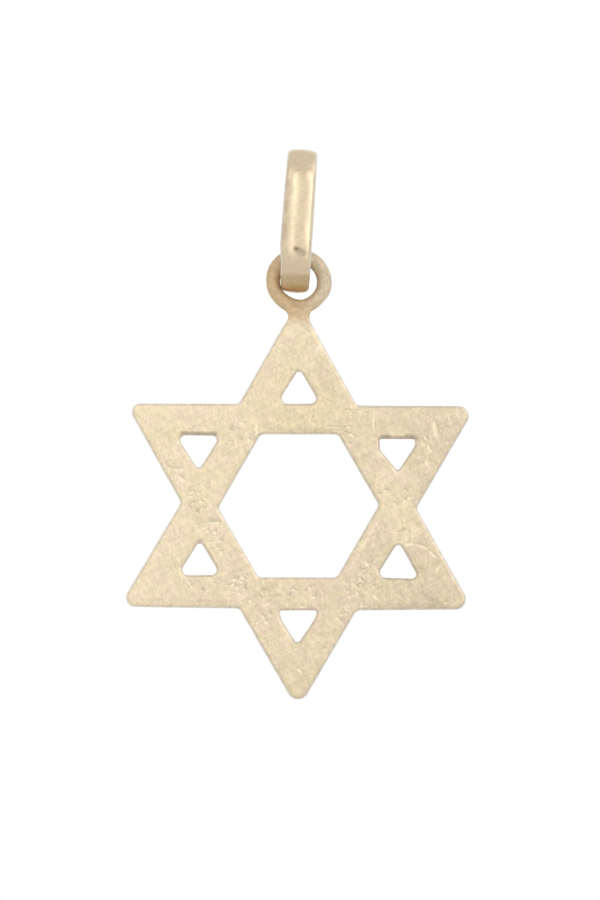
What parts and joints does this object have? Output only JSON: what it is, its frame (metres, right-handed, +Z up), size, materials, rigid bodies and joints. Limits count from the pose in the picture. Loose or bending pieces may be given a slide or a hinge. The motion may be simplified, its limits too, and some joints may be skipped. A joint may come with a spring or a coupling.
{
  "type": "star of david pendant",
  "caption": "Flat pierced hexagram pendant with a hexagonal centre opening and a small triangular hole in each point, hung by a soldered wire eye from a closed band bail.",
  "frame": {"origin": "the seat inside the top of the bail, where a chain lies", "axes": "+Z up, against the pull of the hanging star; -Y is the front of the star, and +X is to the right seen from the front"},
  "size_m": [0.0184, 0.004, 0.0297],
  "materials": {
    "star_gold": "brushed satin pale gold",
    "bail_gold": "polished pale gold, softly worn"
  },
  "bodies": {
    "bail": {"bail": "bail_gold"},
    "star": {"star": "star_gold"}
  },
  "joints": [
    {"name": "star_swing", "type": "hinge", "parent": "bail", "child": "star", "pos_m": [-0.00015, 0, -0.00516], "axis": [1, 0, 0], "range_deg": [-95, 95]}
  ]
}
